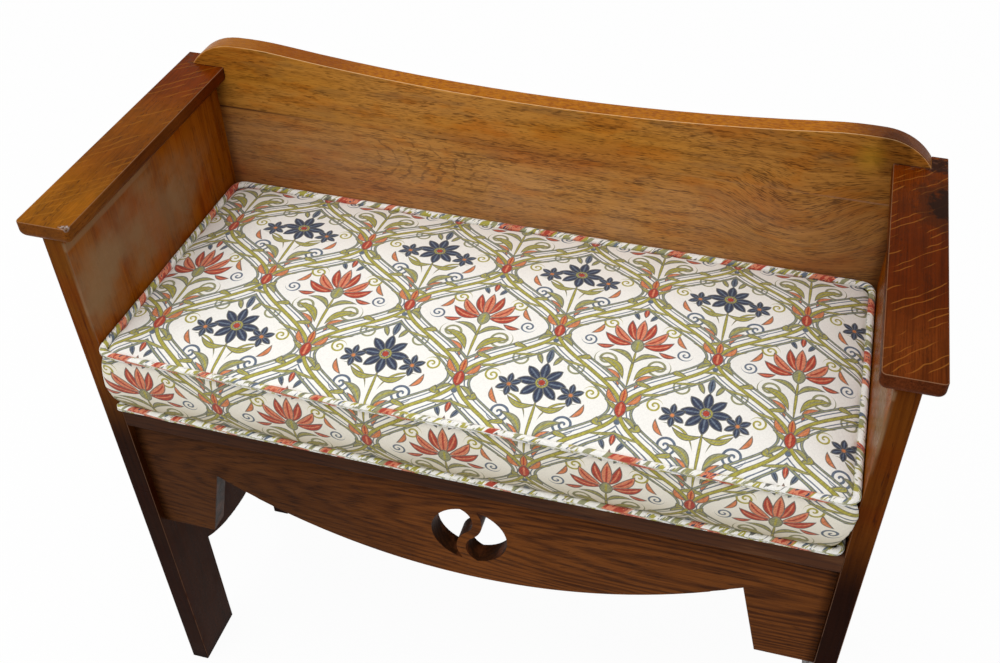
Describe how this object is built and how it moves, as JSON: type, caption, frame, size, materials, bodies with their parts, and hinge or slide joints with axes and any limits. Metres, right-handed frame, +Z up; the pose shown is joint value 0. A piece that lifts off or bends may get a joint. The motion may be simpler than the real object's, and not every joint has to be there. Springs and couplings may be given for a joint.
{
  "type": "hall settle",
  "caption": "Narrow oak hall settle with slab ends, flat arms, low dipped back, pierced bowed apron and a loose piped box cushion.",
  "frame": {"origin": "on the floor, in the middle of the whole width and depth", "axes": "+X to the right seen from the front, +Y from the open front to the back boards, +Z up"},
  "size_m": [0.812, 0.332, 0.7287],
  "materials": {
    "panel_oak": "waxed red-brown oak",
    "arm_oak": "waxed quarter-sawn oak, red-brown",
    "back_oak": "waxed golden oak",
    "seat_oak": "dark oak, little waxed",
    "apron_oak": "waxed brown oak",
    "dowel_beech": "plain beech",
    "block_pine": "unfinished pine, aged",
    "screw_steel": "dull, darkened steel",
    "cushion_foam": "cut foam",
    "cushion_fabric": "printed woven cotton, cream ground with coral, navy and green",
    "piping_fabric": "piping of the cover's own fabric"
  },
  "bodies": {
    "frame": {"side_panel_right": "panel_oak", "side_panel_left": "panel_oak", "arm_board_right": "arm_oak", "arm_board_left": "arm_oak", "arm_dowels_right": "dowel_beech", "arm_dowels_left": "dowel_beech", "back_crest_board": "back_oak", "back_lower_board": "back_oak", "back_joint_dowels": "dowel_beech", "back_screws": "screw_steel", "seat_board": "seat_oak", "front_apron": "apron_oak", "seat_block_left": "block_pine", "seat_block_middle": "block_pine", "seat_block_right": "block_pine", "corner_block_right": "block_pine", "corner_block_left": "block_pine"},
    "cushion": {"cushion_cover": "cushion_fabric", "cushion_foam": "cushion_foam", "cushion_piping_top": "piping_fabric", "cushion_piping_bottom": "piping_fabric"}
  },
  "joints": [
    {"name": "cushion_slide", "type": "slide", "parent": "frame", "child": "cushion", "axis": [0, -1, 0], "range_m": [0, 0.34]}
  ]
}
